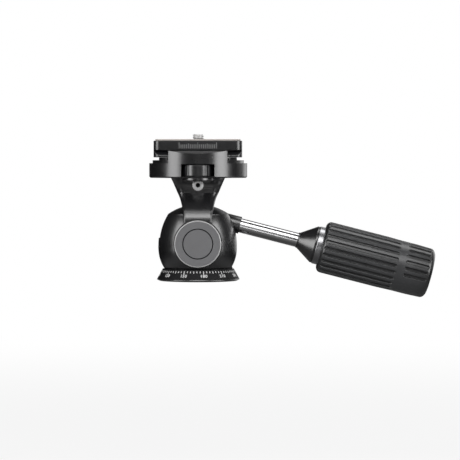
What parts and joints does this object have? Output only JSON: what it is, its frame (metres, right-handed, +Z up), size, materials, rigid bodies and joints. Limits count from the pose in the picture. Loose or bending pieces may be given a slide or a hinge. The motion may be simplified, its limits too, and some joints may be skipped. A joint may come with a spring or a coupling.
{
  "type": "window mount head",
  "caption": "Compact pan and tilt head with a fluted grip handle, a degree ring, a jaw clamp and a sliding quick plate with a camera screw.",
  "frame": {"origin": "centre of the base's underside, on the pan axis, at the mouth of the mounting thread", "axes": "+Z up along the pan axis, Y along the tilt axis, +X towards the handle at rest"},
  "size_m": [0.1628, 0.0558, 0.0929],
  "materials": {
    "black_anodised": "satin, black anodised",
    "grey_anodised": "fine satin, grey anodised",
    "plate_black": "matte, black anodised",
    "steel": "machined",
    "bright_screw": "bright, turned",
    "polished_rod": "polished",
    "satin_metal": "satin",
    "gloss_black": "smooth, black anodised",
    "bronze": "machined",
    "nylon": "matte",
    "pad_rubber": "matte, fine grain",
    "grip_rubber": "matte"
  },
  "bodies": {
    "base": {"base_ring": "black_anodised", "thread_bush": "steel", "pan_spindle": "steel", "spindle_screws": "steel", "pan_washer": "nylon"},
    "housing": {"housing": "black_anodised", "pan_retaining_ring": "steel", "tilt_bush_front": "bronze", "tilt_bush_rear": "bronze", "tilt_washers": "nylon", "tilt_drag_screw": "bright_screw", "drag_plug": "nylon"},
    "yoke": {"yoke": "black_anodised", "tilt_axle": "steel", "handle_hub": "gloss_black", "hub_pin": "steel", "axle_screws": "steel", "brake_pads": "bronze", "side_cap_front": "grey_anodised", "side_cap_rear": "grey_anodised", "cap_inlay_front": "grey_anodised", "cap_inlay_rear": "grey_anodised", "clamp_body": "black_anodised", "clamp_bolt": "steel", "neck_screw": "bright_screw", "side_screw": "bright_screw", "wheel_pin": "steel", "jaw_springs": "steel"},
    "moving_jaw": {"clamp_jaw": "black_anodised", "jaw_pin": "steel", "guide_pins": "steel"},
    "wheel": {"jaw_wheel": "black_anodised"},
    "plate": {"quick_plate": "plate_black", "plate_pad": "pad_rubber"},
    "carrier": {"screw_carrier": "steel"},
    "camera_screw": {"camera_screw": "bright_screw"},
    "handle": {"handle_rod": "polished_rod", "ferrule_cone": "gloss_black", "metal_ring": "satin_metal", "grip_core": "grey_anodised", "grip_screw": "steel", "grip_sleeve": "grip_rubber"}
  },
  "joints": [
    {"name": "pan", "type": "hinge", "parent": "base", "child": "housing", "pos_m": [0, 0, 0], "axis": [0, 0, 1], "continuous": true},
    {"name": "tilt", "type": "hinge", "parent": "housing", "child": "yoke", "pos_m": [0, 0, 0.0215], "axis": [0, -1, 0], "range_deg": [-47, 90]},
    {"name": "handle_twist", "type": "hinge", "parent": "yoke", "child": "handle", "pos_m": [0.00388, 0, 0.03661], "axis": [0.9686, 0, -0.2487], "range_deg": [0, 180]},
    {"name": "wheel_turn", "type": "hinge", "parent": "yoke", "child": "wheel", "pos_m": [0, -0.0187, 0.0594], "axis": [0, 0, 1], "range_deg": [0, 180]},
    {"name": "jaw_slide", "type": "slide", "parent": "yoke", "child": "moving_jaw", "axis": [0, 1, 0], "range_m": [0, 0.0025]},
    {"name": "plate_slide", "type": "slide", "parent": "yoke", "child": "plate", "axis": [1, 0, 0], "range_m": [-0.04, 0.04]},
    {"name": "screw_slide", "type": "slide", "parent": "plate", "child": "carrier", "axis": [1, 0, 0], "range_m": [-0.008, 0.008]},
    {"name": "screw_spin", "type": "hinge", "parent": "carrier", "child": "camera_screw", "pos_m": [0, 0, 0.075], "axis": [0, 0, 1], "continuous": true}
  ],
  "couplings": [
    {"joint": "jaw_slide", "follows": "wheel_turn", "m_per_rad": 0.000795}
  ]
}
